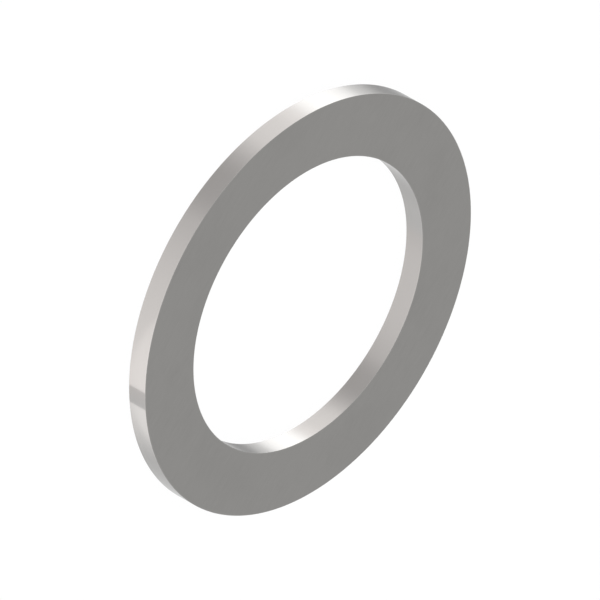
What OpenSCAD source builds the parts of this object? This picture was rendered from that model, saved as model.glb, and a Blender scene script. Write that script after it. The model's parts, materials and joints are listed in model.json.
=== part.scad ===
// Flat support washer: one plain steel ring, made in one piece.
// It runs on a shaft, sits in a housing bore and gives a square shoulder between them.
// It lies on its lower face: the bore's axis is +Z, and the origin is the centre of that face.

/* [Fit] */
// Diameter of the shaft that passes through the bore
shaft_d = 28; // [12:0.5:34]
// Clearance of the bore on the shaft, across the diameter
bore_clearance = 0.065; // [0:0.005:0.3]
// Diameter of the housing bore that the rim sits in
housing_d = 40; // [36:0.5:60]
// Clearance of the rim in the housing, across the diameter
rim_clearance = 0.08; // [0:0.01:0.4]

/* [Section] */
// Thickness between the two flat faces
thickness = 2; // [0.5:0.1:6]
// Radius of the broken edges where the faces meet the bore and the rim
edge_radius = 0.03; // [0.02:0.01:0.2]

/* [Hidden] */

bore_r = (shaft_d + bore_clearance) / 2;
rim_r = (housing_d - rim_clearance) / 2;
steel_grey = "#8B8A88";
ring_facets = 180;
edge_facets = 32;

// Half section of the ring, from the bore to the rim: a rectangle with quarter-round corners
module ring_section() {
    inner_x = bore_r + edge_radius;
    outer_x = rim_r - edge_radius;
    lower_y = edge_radius;
    upper_y = thickness - edge_radius;

    translate([inner_x, 0])
        square([outer_x - inner_x, thickness]);
    translate([bore_r, lower_y])
        square([rim_r - bore_r, upper_y - lower_y]);
    for (x = [inner_x, outer_x], y = [lower_y, upper_y])
        translate([x, y])
            circle(r = edge_radius, $fn = edge_facets);
}

// The ring itself: the section turned about the shaft's axis
module washer() {
    color(steel_grey)
        rotate_extrude($fn = ring_facets)
            ring_section();
}

washer();
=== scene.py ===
# %% [markdown]
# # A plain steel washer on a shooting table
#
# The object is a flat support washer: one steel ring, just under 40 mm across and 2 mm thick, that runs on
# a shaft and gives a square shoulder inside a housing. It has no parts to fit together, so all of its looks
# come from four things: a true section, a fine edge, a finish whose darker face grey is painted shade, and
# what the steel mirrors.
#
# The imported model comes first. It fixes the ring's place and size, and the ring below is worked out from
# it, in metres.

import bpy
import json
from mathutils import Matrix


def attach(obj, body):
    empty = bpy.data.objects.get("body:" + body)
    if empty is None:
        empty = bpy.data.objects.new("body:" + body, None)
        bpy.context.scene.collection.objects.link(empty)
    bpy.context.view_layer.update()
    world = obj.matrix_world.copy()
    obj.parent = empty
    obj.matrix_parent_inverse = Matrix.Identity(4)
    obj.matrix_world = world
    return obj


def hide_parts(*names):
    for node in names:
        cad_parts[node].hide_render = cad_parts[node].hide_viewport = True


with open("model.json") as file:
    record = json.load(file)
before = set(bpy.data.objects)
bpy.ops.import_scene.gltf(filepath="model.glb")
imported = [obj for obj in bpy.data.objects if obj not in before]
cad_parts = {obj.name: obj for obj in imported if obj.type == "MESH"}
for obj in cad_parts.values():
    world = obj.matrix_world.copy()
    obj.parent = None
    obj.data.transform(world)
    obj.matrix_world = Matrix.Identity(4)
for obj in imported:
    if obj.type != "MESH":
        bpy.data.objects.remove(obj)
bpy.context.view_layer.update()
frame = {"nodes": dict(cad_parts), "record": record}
print("solids in the frame:", sorted(frame["nodes"]))

# %% [markdown]
# ## Blender's own modules
#
# bpy reaches everything in Blender, bmesh makes and cuts meshes, and mathutils has vectors and matrices.
# The editor's operators, in bpy.ops, could make the shapes too, but they act on whatever is selected. bmesh
# acts on the mesh that it is given, so a script that uses it does the same on every run.

# %% Blender's own modules
import json
import math

import bmesh
import bpy
from mathutils import Matrix, Vector

print("made with Blender", bpy.app.version_string)

# %% [markdown]
# ## The sizes that drive the ring
#
# The record's mounts hold the ring's true sizes: the radius of the bore, the radius of the rim and the
# heights of the two faces. The straight part of the rim is shorter than the ring is thick, because the
# edges are broken. Half of the difference is the radius of an edge. The sizes could be typed in again here,
# but read from the record they follow the model when it changes.

# %% Read the sizes
MM = 0.001
mounts = {mount["name"]: mount for mount in frame["record"]["mounts"]}
bore_r = mounts["bore"]["dims"]["r_mm"] * MM
rim_r = mounts["rim"]["dims"]["r_mm"] * MM
lower_z = mounts["lower_face"]["pos_m"][2]
upper_z = mounts["upper_face"]["pos_m"][2]
thickness = upper_z - lower_z
edge_r = (thickness - mounts["rim"]["dims"]["length_mm"] * MM) / 2
middle_r = (bore_r + rim_r) / 2
middle_z = (lower_z + upper_z) / 2
print(f"bore {2 * bore_r / MM:.3f} mm, rim {2 * rim_r / MM:.3f} mm, {thickness / MM:.2f} mm thick,"
      f" edges {edge_r / MM:.3f} mm")

# %% [markdown]
# ## The half section
#
# A lathe makes a ring by carrying one outline round an axis, and the model is made in the same way. The
# outline is a rectangle with rounded corners. Beveling the four corner points rounds them in the flat,
# before the turn, so the edges come out as true rounds all the way round the ring. A bevel after the
# turn would have to work on hundreds of short edges to get the same form.

# %% Draw the half section
CORNER_STEPS = 8


def half_section():
    """The ring's outline on the +X side of the axis, as a closed loop of edges."""
    section = bmesh.new()
    corners = [(bore_r, lower_z), (rim_r, lower_z), (rim_r, upper_z), (bore_r, upper_z)]
    section.faces.new([section.verts.new((x, 0, z)) for x, z in corners])
    bmesh.ops.bevel(
        section,
        geom=section.verts[:],
        affect="VERTICES",
        offset_type="OFFSET",
        offset=edge_r,
        segments=CORNER_STEPS,
        profile=0.5,
        material=-1,
    )
    bmesh.ops.delete(section, geom=section.faces[:], context="FACES_ONLY")
    return section


ring = half_section()
print("the half section has", len(ring.edges), "edges")

# %% [markdown]
# ## Turning the section into a ring
#
# Spin carries the outline round the axis in small steps. One step to each degree keeps the rim within a
# hundredth of a pixel of a true circle. The last copy lands on the first, so the two are merged, and
# the normals are then turned to face outwards.

# %% Turn the section
TURN_STEPS = 360
SAME_POINT = edge_r / 100


def turn(section):
    """Carries the section's edges once round the Z axis and closes the ring."""
    bmesh.ops.spin(
        section,
        geom=section.verts[:] + section.edges[:],
        cent=(0, 0, 0),
        axis=(0, 0, 1),
        dvec=(0, 0, 0),
        angle=2 * math.pi,
        steps=TURN_STEPS,
        use_merge=True,
    )
    bmesh.ops.remove_doubles(section, verts=section.verts[:], dist=SAME_POINT)
    bmesh.ops.recalc_face_normals(section, faces=section.faces[:])


turn(ring)
print("the ring has", len(ring.faces), "faces and a volume of", round(ring.calc_volume() / MM**3, 1), "mm3")

# %% [markdown]
# ## Two finishes on one piece
#
# The real ring is cut from rolled strip. Its faces are a rough satin, and the rim and the bore are turned
# smooth and bright. The faces' darker grey is painted shade: the same steel, set darker in colour for the
# darker tone that the faces mirror. So the mesh carries two materials, and they meet in the middle of each
# rounded edge: what is steeper than 45 degrees is bright, and what is flatter is grey. Two meshes could
# carry one finish each, but a single closed mesh has no seam to mind.

# %% Sort the faces by finish
SHADED_GREY, BRIGHT = 0, 1
STEEP = math.cos(math.radians(45))

for face in ring.faces:
    face.smooth = True
    face.material_index = BRIGHT if abs(face.normal.z) < STEEP else SHADED_GREY
print("bright faces:", sum(face.material_index == BRIGHT for face in ring.faces))

# %% [markdown]
# ## From a working mesh to an object
#
# A bmesh is only a working copy. It is written into a mesh, and an object brings the mesh into the scene.
# The object stays at the origin, because the ring's place is already in its points. The ring rides on the
# model's one body and stands for the plain solid, which is then hidden.

# %% Put the ring in the scene
ring_mesh = bpy.data.meshes.new("steel_washer")
ring.to_mesh(ring_mesh)
ring.free()
washer = bpy.data.objects.new("steel_washer", ring_mesh)
bpy.context.scene.collection.objects.link(washer)
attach(washer, "root")
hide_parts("washer")
print("steel_washer stands for the CAD node, with", len(ring_mesh.polygons), "faces")

# %% [markdown]
# ## Normals that keep the faces flat
#
# Smooth shading alone would blend each flat face into its rounded edge, and the bore would mirror the room
# like the side of a barrel. The Weighted Normal modifier is the usual cure, but it goes by the areas of the
# faces in square metres, and on a part this small some of them are too small for it. Here the true normals
# are known. The outline is a small rectangle that has grown by one edge radius all round, so at each point
# the normal leads straight away from the nearest point of that small rectangle.

# %% Give the mesh its true normals
def between(value, low, high):
    """The nearest value to this one that is between the two limits."""
    return min(max(value, low), high)


def true_normal(point):
    """The direction that leads straight out of the steel at a point of its surface."""
    radius = math.hypot(point.x, point.y)
    inner_radius = between(radius, bore_r + edge_r, rim_r - edge_r)
    inner_height = between(point.z, lower_z + edge_r, upper_z - edge_r)
    shrink = inner_radius / radius
    return (point - Vector((shrink * point.x, shrink * point.y, inner_height))).normalized()


ring_mesh.normals_split_custom_set_from_vertices([true_normal(vertex.co) for vertex in ring_mesh.vertices])
print("true normals given to", len(ring_mesh.vertices), "points")

# %% [markdown]
# ## Small helpers for shader nodes
#
# A finish is a tree of nodes. It could be drawn by hand in the shader editor, and in a script a few helpers
# keep it short to read. One places a node and fills in its values and links, one makes soft noise, and one
# starts a node group with named sockets, so that one effect can serve both finishes.

# %% Helpers for node trees
def place(tree, kind, values=None, **settings):
    """Adds a node of this kind, sets its options, and gives its inputs the values or links named."""
    node = tree.nodes.new(kind)
    for name, setting in settings.items():
        setattr(node, name, setting)
    for name, value in (values or {}).items():
        if isinstance(value, bpy.types.NodeSocket):
            tree.links.new(value, node.inputs[name])
        else:
            node.inputs[name].default_value = value
    return node


def noise(tree, vector, size, detail, roughness=0.5):
    """Soft noise between 0 and 1 whose blots are about this size, with finer layers on top of them."""
    values = {"Vector": vector, "Scale": 1 / size, "Detail": detail, "Roughness": roughness}
    return place(tree, "ShaderNodeTexNoise", values).outputs[0]


def new_group(name, inputs, output):
    """A shader node group with these inputs and one value out, and its two end nodes."""
    group = bpy.data.node_groups.new(name, "ShaderNodeTree")
    for socket, kind in inputs.items():
        group.interface.new_socket(socket, in_out="INPUT", socket_type=kind)
    group.interface.new_socket(output, in_out="OUTPUT", socket_type="NodeSocketFloat")
    return group, place(group, "NodeGroupInput").outputs, place(group, "NodeGroupOutput")


print("helpers ready: place, noise, new_group")

# %% [markdown]
# ## Tool lines
#
# Rolling leaves fine straight lines on the strip, and a turning tool leaves fine lines round a rim. Both
# are noise that is drawn out along one direction and squeezed across it. The group takes the place on
# the piece and how often the lines come along each axis, so the two finishes share it. A second noise, some
# lines wide, gathers them into faint streaks, as a real roll or tool does.

# %% Group: tool lines
LINE_SIZE, LINE_DETAIL, LINE_ROUGHNESS = 1, 2.0, 0.6
STREAK_SIZE, STREAK_DETAIL, STREAK_SHARE = 5, 1.0, 0.1


def vector_math(tree, operation, *vectors):
    """One sum with vectors. Its Value is a length or a dot product, and its Vector is any other result."""
    return place(tree, "ShaderNodeVectorMath", dict(enumerate(vectors)), operation=operation).outputs


def tool_lines():
    """Noise drawn out into lines: 0 in a groove, 1 on a ridge."""
    inputs = {"Position": "NodeSocketVector", "Lines per metre": "NodeSocketVector"}
    group, given, result = new_group("tool_lines", inputs, "Lines")
    drawn_out = vector_math(group, "MULTIPLY", given["Position"], given["Lines per metre"])["Vector"]
    fine = noise(group, drawn_out, LINE_SIZE, LINE_DETAIL, LINE_ROUGHNESS)
    streaks = noise(group, drawn_out, STREAK_SIZE, STREAK_DETAIL)
    lines = place(group, "ShaderNodeMix", {"Factor": STREAK_SHARE, "A": fine, "B": streaks})
    group.links.new(lines.outputs[0], result.inputs["Lines"])
    return group


lines_group = tool_lines()
print("group made:", lines_group.name)

# %% [markdown]
# ## A film from handling
#
# Bare steel is oiled and handled, which leaves soft patches a few millimetres wide where the surface is
# a touch duller. They don't change the colour. They change how sharp a reflection is. Noise alone would
# cover all of the steel, so its low values are cut off and count as clean.

# %% Group: handling film
PATCH_SIZE, PATCH_DETAIL = 5 * MM, 3.0
FILM_START, FILM_FULL = 0.4, 0.7


def softly(tree, value, start, full, low=0.0, high=1.0):
    """Goes softly from low to high while a value goes from start to full."""
    values = {"Value": value, "From Min": start, "From Max": full, "To Min": low, "To Max": high}
    return place(tree, "ShaderNodeMapRange", values, interpolation_type="SMOOTHSTEP").outputs[0]


def handling_film():
    """Soft patches: 0 where the steel is clean, 1 where the film is thickest."""
    group, given, result = new_group("handling_film", {"Position": "NodeSocketVector"}, "Film")
    patches = noise(group, given["Position"], PATCH_SIZE, PATCH_DETAIL)
    group.links.new(softly(group, patches, FILM_START, FILM_FULL), result.inputs["Film"])
    return group


film_group = handling_film()
print("group made:", film_group.name)

# %% [markdown]
# ## Polish near the edges
#
# Tumbling and use rub the edges first, so a narrow band beside each edge is a little brighter. On a face
# the band runs along the bore and the rim, and on the rim it runs along both faces. Either way it depends
# on one distance, how far a point is from the middle of its surface, and noise frays it so that it doesn't
# look ruled.

# %% Group: edge polish
FRAY_SIZE, FRAY_DETAIL = 0.6 * MM, 2.0


def calculate(tree, operation, *numbers):
    """One sum with numbers that may change over the surface."""
    return place(tree, "ShaderNodeMath", dict(enumerate(numbers)), operation=operation).outputs[0]


def edge_polish():
    """0 away from the edges, and up to 1 at an edge."""
    inputs = {"Position": "NodeSocketVector", "From middle": "NodeSocketFloat",
              "Half width": "NodeSocketFloat", "Band": "NodeSocketFloat"}
    group, given, result = new_group("edge_polish", inputs, "Polish")
    start = calculate(group, "SUBTRACT", given["Half width"], given["Band"])
    band = softly(group, given["From middle"], start, given["Half width"])
    fray = noise(group, given["Position"], FRAY_SIZE, FRAY_DETAIL)
    group.links.new(calculate(group, "MULTIPLY", band, fray), result.inputs["Polish"])
    return group


polish_group = edge_polish()
print("group made:", polish_group.name)

# %% [markdown]
# ## Colours and groups in a material
#
# The finishes need two more helpers. One goes from one colour to another, and one places a node group. The
# Mix node has a set of sockets for each kind of value, all with the same names, so the ones for colours are
# picked by their numbers.

# %% Mix colours and place groups
COLOUR_A, COLOUR_B, MIXED_COLOUR = 6, 7, 2


def mix_colours(tree, factor, first, second):
    """Goes from the first colour to the second as the factor goes from 0 to 1."""
    values = {"Factor": factor, COLOUR_A: first, COLOUR_B: second}
    return place(tree, "ShaderNodeMix", values, data_type="RGBA").outputs[MIXED_COLOUR]


def group_node(tree, group, values):
    """Places a node group in a material, with its values and links."""
    return place(tree, "ShaderNodeGroup", node_tree=group, values=values).outputs[0]


print("helpers ready: mix_colours, group_node")

# %% [markdown]
# ## From effects to a finish
#
# Both finishes are bare metal, so they have the same tree with other values. The lines vary the colour a
# little, and they drive a bump of at most a thousandth of a millimetre. The film varies the roughness, and
# the polish lightens the edges. The distance from the middle of the surface is the one thing that each
# finish works out in its own way, so it is handed in as a function.

# %% A bare steel finish
FINE_BAND = 0.2 * MM


def bare_steel(name, dark, light, polished, roughness, lines, bump_height, half_width, from_middle):
    """A metal finish whose colour, roughness and bump follow the lines, the film and the polish."""
    material = bpy.data.materials.new(name)
    material.use_nodes = True
    tree = material.node_tree
    shader = tree.nodes["Principled BSDF"]
    position = place(tree, "ShaderNodeTexCoord").outputs["Object"]
    ridge = group_node(tree, lines_group, {"Position": position, "Lines per metre": lines})
    film = group_node(tree, film_group, {"Position": position})
    off_middle = from_middle(tree, position)
    polish = group_node(tree, polish_group, {"Position": position, "From middle": off_middle,
                                             "Half width": half_width, "Band": FINE_BAND})
    lined = mix_colours(tree, ridge, dark, light)
    colour = mix_colours(tree, polish, lined, polished)
    smooth, dull = roughness
    rough = place(tree, "ShaderNodeMapRange", {"Value": film, "To Min": smooth, "To Max": dull})
    grooves = place(tree, "ShaderNodeBump", {"Height": ridge, "Distance": bump_height, "Strength": 1.0})
    shader.inputs["Metallic"].default_value = 1.0
    tree.links.new(colour, shader.inputs["Base Color"])
    tree.links.new(rough.outputs[0], shader.inputs["Roughness"])
    tree.links.new(grooves.outputs[0], shader.inputs["Normal"])
    return material


print("bare_steel makes a finish from its colours, roughness and lines")

# %% [markdown]
# ## The middle of a face and of the rim
#
# The polish needs to know how far a point is from the middle of its surface. A face runs from the bore to
# the rim, so there it goes by the distance from the axis. The rim and the bore run from face to face, so
# there it goes by the height. UV maps could hold the same distances, but a formula on the place needs none.

# %% How far from the middle
FLATTEN = (1, 1, 0)


def levelled(tree, vector):
    """A place or a direction with its height taken away."""
    return vector_math(tree, "MULTIPLY", vector, FLATTEN)["Vector"]


def height_of(tree, vector):
    """The height of a place or a direction."""
    return place(tree, "ShaderNodeSeparateXYZ", {"Vector": vector}).outputs["Z"]


def apart(tree, value, middle):
    """How far a value is from the middle one, either way."""
    return calculate(tree, "ABSOLUTE", calculate(tree, "SUBTRACT", value, middle))


def off_middle_radius(tree, position):
    """How far a point is from the ring's middle radius."""
    return apart(tree, vector_math(tree, "LENGTH", levelled(tree, position))["Value"], middle_r)


def off_middle_height(tree, position):
    """How far a point is from the ring's middle height."""
    return apart(tree, height_of(tree, position), middle_z)


print(f"middle radius {middle_r / MM:.3f} mm, middle height {middle_z / MM:.2f} mm")

# %% [markdown]
# ## The grey face and the bright rim
#
# The face is a satin with straight rolling lines along X, and its mid grey is painted shade: the same steel
# as the rim, set darker in colour for the darker tone that the face mirrors. The rim and the bore are
# brighter and far smoother, with turning lines round the axis: squeezing the noise along Z alone gives
# rings with no seam. Each finish has one colour in the grooves and one on the ridges, and both greys are a
# touch warm, as bare steel is.

# %% Make both finishes
# The face's colours are painted shade: the rim's steel set darker, for the darker tone that the face
# mirrors.
SHADED_FACE_DARK = (0.21, 0.206, 0.2, 1)
SHADED_FACE_LIGHT = (0.28, 0.276, 0.266, 1)
SHADED_FACE_POLISHED = (0.266, 0.262, 0.252, 1)
FACE_ROUGHNESS = (0.34, 0.42)
FACE_LINES = (500, 25000, 500)
FACE_BUMP = 0.001 * MM
RIM_DARK = (0.485, 0.477, 0.467, 1)
RIM_LIGHT = (0.515, 0.507, 0.495, 1)
RIM_POLISHED = (0.53, 0.522, 0.51, 1)
RIM_ROUGHNESS = (0.08, 0.11)
RIM_LINES = (60, 60, 12000)
RIM_BUMP = 0.0002 * MM

shaded_face = bare_steel("shaded_face", SHADED_FACE_DARK, SHADED_FACE_LIGHT, SHADED_FACE_POLISHED, FACE_ROUGHNESS, FACE_LINES,
                       FACE_BUMP, (rim_r - bore_r) / 2, off_middle_radius)
bright_rim = bare_steel("bright_rim", RIM_DARK, RIM_LIGHT, RIM_POLISHED, RIM_ROUGHNESS, RIM_LINES,
                        RIM_BUMP, thickness / 2, off_middle_height)
ring_mesh.materials.append(shaded_face)
ring_mesh.materials.append(bright_rim)
print("finishes:", [material.name for material in ring_mesh.materials])

# %% [markdown]
# ## The camera
#
# The view has no perspective, so the camera is orthographic and its scale alone sets the framing: the rim's
# longest width takes up so many pixels of the picture's width. The camera looks down on the face, and it is
# rolled about its own line of sight, so that the ring that lies on the table appears to stand on edge. The
# roll is given by where the ring's axis points in the picture.

# %% Aim the camera
LOOK_DOWN = math.radians(35.643)
AXIS_IN_PICTURE = math.radians(-29.476)
RIM_PIXELS = 460.98
PICTURE_PIXELS = 600
CAMERA_DISTANCE = 0.3
CLOSEST_SIGHT = 3 * MM
QUARTER_TURN = math.pi / 2
MATRIX_ROWS = 4

camera = bpy.data.objects.new("camera", bpy.data.cameras.new("camera"))
bpy.context.scene.collection.objects.link(camera)
bpy.context.scene.camera = camera
camera.data.type = "ORTHO"
camera.data.ortho_scale = 2 * rim_r * PICTURE_PIXELS / RIM_PIXELS
camera.data.clip_start = CLOSEST_SIGHT
tilt = Matrix.Rotation(QUARTER_TURN - LOOK_DOWN, MATRIX_ROWS, "X")
roll = Matrix.Rotation(QUARTER_TURN - AXIS_IN_PICTURE, MATRIX_ROWS, "Z")
aim = Matrix.Translation((0, 0, middle_z)) @ tilt @ roll
camera.matrix_world = aim @ Matrix.Translation((0, 0, CAMERA_DISTANCE))
print(f"the picture is {camera.data.ortho_scale / MM:.2f} mm wide")

# %% [markdown]
# ## Helpers for the stage
#
# The sheet and the lights round the ring are a stage and no part of the object. The flat ones start as a
# square of one metre, which is then scaled and moved to its limits. A grid's size in bmesh is half of its
# side.

# %% Shapes on the stage
HALF_A_METRE = 0.5


def rectangle(x_range, y_range):
    """A flat rectangle between these limits in X and Y, made from a square of one metre."""
    shape = bmesh.new()
    bmesh.ops.create_grid(shape, x_segments=1, y_segments=1, size=HALF_A_METRE)
    spans = (x_range[1] - x_range[0], y_range[1] - y_range[0], 1)
    middle = (sum(x_range) / 2, sum(y_range) / 2, 0)
    bmesh.ops.scale(shape, vec=spans, verts=shape.verts[:])
    bmesh.ops.translate(shape, vec=middle, verts=shape.verts[:])
    return shape


def on_stage(name, shape, material):
    """Puts a shape in the scene as part of the stage, with its material."""
    mesh = bpy.data.meshes.new(name)
    shape.to_mesh(mesh)
    shape.free()
    mesh.materials.append(material)
    made = bpy.data.objects.new(name, mesh)
    bpy.context.scene.collection.objects.link(made)
    return made


print("helpers ready: rectangle, on_stage")

# %% [markdown]
# ## The sheet under the ring
#
# The ring lies on a clear acrylic sheet with a thin milky coat, in the middle of a white room. The camera
# looks through the sheet at the white below it. A painted table would give the same white, but the rim and
# the bore stand square to it and would mirror nothing else. Through a clear sheet they show the lights that
# stand lower down. The sheet is a hair below the ring, so that the two never fight for the same place.

# %% Lay the sheet
SHEET_SIDE = 1.6
SHEET_GAP = 0.01 * MM

milky = bpy.data.materials.new("milky_acrylic")
half_side = SHEET_SIDE / 2
sheet = on_stage("sheet", rectangle((-half_side, half_side), (-half_side, half_side)), milky)
sheet.location.z = lower_z - SHEET_GAP
print("the sheet is", SHEET_SIDE, "m wide")

# %% [markdown]
# ## The milky coat
#
# The coat is what keeps a faint shadow under the ring. A small share of the sheet is matt white, and the
# rest is clear. Clear is a Transparent shader here and not glass, because it lets each ray go straight on,
# so nothing that is seen through the sheet is shifted.

# %% Make the sheet milky
WHITE = (1, 1, 1, 1)
COAT = 0.05


def emptied(owner):
    """Turns on the nodes of a material or a world and gives its tree, with nothing in it."""
    owner.use_nodes = True
    owner.node_tree.nodes.clear()
    return owner.node_tree


milk = emptied(milky)
clear = place(milk, "ShaderNodeBsdfTransparent", {"Color": WHITE}).outputs[0]
coat = place(milk, "ShaderNodeBsdfDiffuse", {"Color": WHITE}).outputs[0]
coated = place(milk, "ShaderNodeMixShader", {0: COAT, 1: clear, 2: coat}).outputs[0]
place(milk, "ShaderNodeOutputMaterial", {"Surface": coated})
print("the coat covers", COAT, "of the sheet")

# %% [markdown]
# ## The white room
#
# The room is white all round and a little brighter overhead. It is a hair over plain white, to make up for
# the little that the sheet's coat takes away. It is nearly all that the face mirrors, and a flat satin face
# in an even room is an even grey. Large lamps could light the face too, but it would show where they end.

# %% Light the room
ROOM = 1.01
OVERHEAD = 1.15
OVERHEAD_START = 0.4
STRAIGHT_UP = 1

world = bpy.data.worlds.new("white_room")
bpy.context.scene.world = world
room = emptied(world)
outward = place(room, "ShaderNodeTexCoord").outputs["Generated"]
strength = softly(room, height_of(room, outward), OVERHEAD_START, STRAIGHT_UP, ROOM, OVERHEAD)
white = place(room, "ShaderNodeBackground", {"Color": WHITE, "Strength": strength}).outputs[0]
place(room, "ShaderNodeOutputWorld", {"Surface": white})
print("the room's strength is", ROOM, "all round and", OVERHEAD, "straight up")

# %% [markdown]
# ## The light tent
#
# Metal looks like what stands round it. A bright rim in an even room would be as flat as paint, so a round
# light tent hangs round the sheet: a large bowl of grey cloth, open at the top, with a softbox behind it.
# The rim and the bore show it as a white glint between soft dark bands. The softbox has a soft edge and
# spills some light on the cloth beside it, and dark flags and one pale fill card set the other tones. Each
# panel is given by the way it stands from the ring, in degrees from the camera's side towards -X, by how
# far it reaches to each side, in degrees, and by the light that it adds or takes away.

# %% Panels on the tent
PANELS = {
    "softbox": (110, 22, 0.45),
    "softbox edge": (112, 36, 0.35),
    "softbox spill": (95, 60, 0.5),
    "near flag": (35, 28, -0.2),
    "far flag": (145, 40, -0.4),
    "fill card": (-45, 60, 0.18),
    "back flag": (-150, 40, -0.12),
}
print("panels:", list(PANELS))

# %% [markdown]
# ## The bowl
#
# The bowl is a sphere whose top is cut off, a little above the sheet. It is large beside the ring, so that
# all of the ring sees a panel in the same direction. Blender can hide an object from each kind of ray, and
# this one shows in reflections but not to the camera, which looks past it at the white room.

# %% Hang the tent
TENT_R, TENT_TOP = 2.5, 0.5
TENT_STEPS = 48
UP = Vector((0, 0, 1))


def trim(shape, point, outward_side):
    """Cuts a shape along a plane and takes away what is on the plane's outward side."""
    bmesh.ops.bisect_plane(shape, geom=shape.verts[:] + shape.edges[:] + shape.faces[:],
                           plane_co=point, plane_no=outward_side, clear_outer=True)


def only_mirrored(thing):
    """Hides a thing from the camera and from matt surfaces, so that it shows in reflections."""
    thing.visible_camera = False
    thing.visible_diffuse = False


bowl = bmesh.new()
bmesh.ops.create_uvsphere(bowl, u_segments=TENT_STEPS, v_segments=TENT_STEPS // 2, radius=TENT_R)
trim(bowl, TENT_TOP * UP, UP)
cloth = bpy.data.materials.new("tent_cloth")
tent = on_stage("light_tent", bowl, cloth)
only_mirrored(tent)
print("the tent has", len(tent.data.polygons), "faces")

# %% [markdown]
# ## Soft patches by heading
#
# A panel could be an area lamp, but then each would have hard edges to hide. A cloth that glows by a
# formula has soft ones. The dot product of two directions is the cosine of the angle between them, so a
# panel is a soft step on that cosine: nothing at its edge, and its full light at its own heading.

# %% Soft light by heading
def heading(degrees):
    """The level direction at this angle from the camera's side towards -X."""
    angle = math.radians(degrees)
    return Vector((-math.sin(angle), -math.cos(angle), 0))


def along(tree, vector, towards):
    """How far a vector reaches along a heading."""
    return vector_math(tree, "DOT_PRODUCT", vector, heading(towards))["Value"]


def panel(tree, bearing, towards, start, full, amount=1.0):
    """Rises softly from 0 to an amount, from start to full degrees away from a heading."""
    edge, middle = math.cos(math.radians(start)), math.cos(math.radians(full))
    return softly(tree, along(tree, bearing, towards), edge, middle, high=amount)


print("a panel is a soft patch round its heading")

# %% [markdown]
# ## The glow of the cloth
#
# The cloth glows a little darker than white. The panels add to that or take from it, and they fade out
# towards the open top, where the even room takes over. On the camera's side the cloth is a touch warmer,
# which gives the bright steel its faint warm tone.

# %% Light the tent
CLOTH = 0.85
FADE_END = -0.2
WARM = (1.0, 0.97, 0.96, 1)
WARM_HEADING, WARM_END, WARM_FULL = 0, 100, 85

cloth_tree = emptied(cloth)
on_tent = place(cloth_tree, "ShaderNodeTexCoord").outputs["Object"]
bearing = vector_math(cloth_tree, "NORMALIZE", levelled(cloth_tree, on_tent))["Vector"]
panels = 0.0
for towards, reach, light in PANELS.values():
    panels = calculate(cloth_tree, "ADD", panels, panel(cloth_tree, bearing, towards, reach, 0, light))
lower_down = softly(cloth_tree, height_of(cloth_tree, on_tent), TENT_TOP, FADE_END)
glow_of_cloth = calculate(cloth_tree, "ADD", calculate(cloth_tree, "MULTIPLY", panels, lower_down), CLOTH)
warm_side = panel(cloth_tree, bearing, WARM_HEADING, WARM_END, WARM_FULL)
tint = mix_colours(cloth_tree, warm_side, WHITE, WARM)
shine = place(cloth_tree, "ShaderNodeEmission", {"Color": tint, "Strength": glow_of_cloth}).outputs[0]
place(cloth_tree, "ShaderNodeOutputMaterial", {"Surface": shine})
print("the cloth is", CLOTH, "of white, warmed to", WARM[:3], "on the camera's side")

# %% [markdown]
# ## Two lamps close below the sheet
#
# The outer rim has one more glint: a light patch with a straight dark band through it. That is how two
# flat lamps look that lie side by side with a gap between them. They are close to the ring, so that from
# the camera's side the outer rim mirrors them and the bore doesn't. A lamp is a clear film that adds its
# glow to what is behind it. The wide glow fades out at the far end of the patch and, over a longer way, at
# the near end, and a core round the gap is a little brighter. Each fade is a heading and the two distances
# from the axis, along that heading, where it starts and where it is full.

# %% A glow that fades
LAMP_TINT = (1.0, 0.95, 0.94, 1)
WIDE_LIGHT, CORE_LIGHT = 0.5, 0.15
FAR_FADE = (-25, 11 * MM, 22 * MM)
NEAR_FADE = (-130, -25 * MM, 25 * MM)
CORE_FADE = (-60, 24.5 * MM, 26 * MM)


def fade(tree, position, towards, start, full, amount=1.0):
    """Rises softly from 0 to an amount along a heading, between two distances from the axis."""
    return softly(tree, along(tree, position, towards), start, full, high=amount)


glow = bpy.data.materials.new("lamp_glow")
glow_tree = emptied(glow)
on_lamp = place(glow_tree, "ShaderNodeTexCoord").outputs["Object"]
core = fade(glow_tree, on_lamp, *CORE_FADE, CORE_LIGHT)
far_end = fade(glow_tree, on_lamp, *FAR_FADE, WIDE_LIGHT)
near_end = fade(glow_tree, on_lamp, *NEAR_FADE)
lamp_light = calculate(glow_tree, "ADD", core, calculate(glow_tree, "MULTIPLY", far_end, near_end))
lamp_shine = place(glow_tree, "ShaderNodeEmission", {"Color": LAMP_TINT, "Strength": lamp_light}).outputs[0]
film_clear = place(glow_tree, "ShaderNodeBsdfTransparent", {"Color": WHITE}).outputs[0]
lit_film = place(glow_tree, "ShaderNodeAddShader", {0: lamp_shine, 1: film_clear}).outputs[0]
place(glow_tree, "ShaderNodeOutputMaterial", {"Surface": lit_film})
print("a lamp adds at most", WIDE_LIGHT + CORE_LIGHT, "of white")

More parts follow.
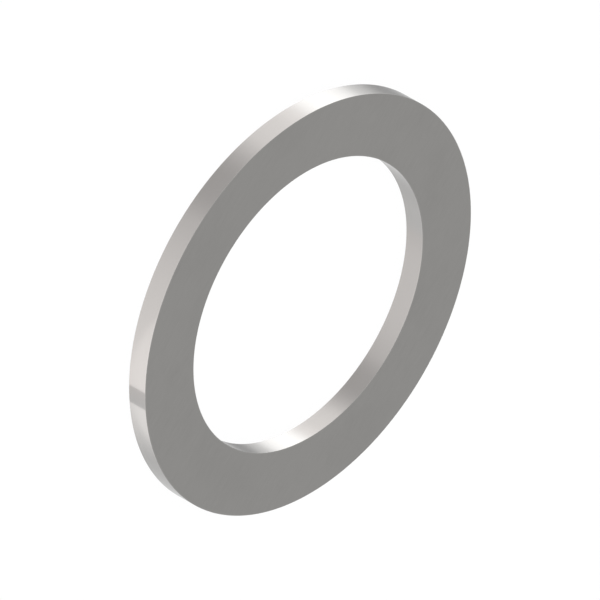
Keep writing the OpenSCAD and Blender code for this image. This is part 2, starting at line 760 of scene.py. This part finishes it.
# %% [markdown]
# ## Cutting the lamps to shape
#
# A ray that meets the rim at some angle from the camera's side leaves at twice that angle, so from above
# each place on the rim looks out along a straight line. The lamps are cut along two of these lines, which
# gives the band upright edges from face to face. A gap with other edges would be mirrored at a slant.

# %% Lay the lamps
LAMP_DROP = 6 * MM
NEAR_LAMP_X, NEAR_LAMP_Y = (-10 * MM, 60 * MM), (-60 * MM, 0)
FAR_LAMP_X, FAR_LAMP_Y = (8 * MM, 60 * MM), (-20 * MM, 20 * MM)
NEAR_EDGE, FAR_EDGE = -43.1, -48.3
NEAR_SIDE, FAR_SIDE = Vector((0, -1, 0)), Vector((0, 1, 0))


def lay_lamp(name, x_range, y_range, cut_at, side):
    """Lays a flat lamp, cut along the line that the rim looks out on at a heading, and keeps one side."""
    shape = rectangle(x_range, y_range)
    across = UP.cross(heading(2 * cut_at))
    trim(shape, rim_r * heading(cut_at), -across if across.dot(side) > 0 else across)
    lamp = on_stage(name, shape, glow)
    lamp.location.z = middle_z - LAMP_DROP
    only_mirrored(lamp)
    lamp.visible_shadow = False
    print("laid", lamp.name, "with", len(lamp.data.vertices), "corners")


lay_lamp("near_lamp", NEAR_LAMP_X, NEAR_LAMP_Y, NEAR_EDGE, NEAR_SIDE)
lay_lamp("far_lamp", FAR_LAMP_X, FAR_LAMP_Y, FAR_EDGE, FAR_SIDE)

# %% [markdown]
# ## Colours as they are written
#
# Blender's usual view bends bright colours in the way that film does, which would turn the white ground
# grey. The Standard view shows a colour as it is written, so the ground stays white.

# %% Show colours as they are written
view = bpy.context.scene.view_settings
view.view_transform = "Standard"
print("view transform:", view.view_transform)

# %% [markdown]
# ## The ring's size
#
# The dressed ring stands for the imported model, so it has to be as large.

# %% [markdown]
# ## The last line
#
# The ring rides on the model's body, and the last line prints its name and how many finishes it has.

# %% The last line
print("handing over", washer.name, "with", len(washer.data.materials), "finishes")
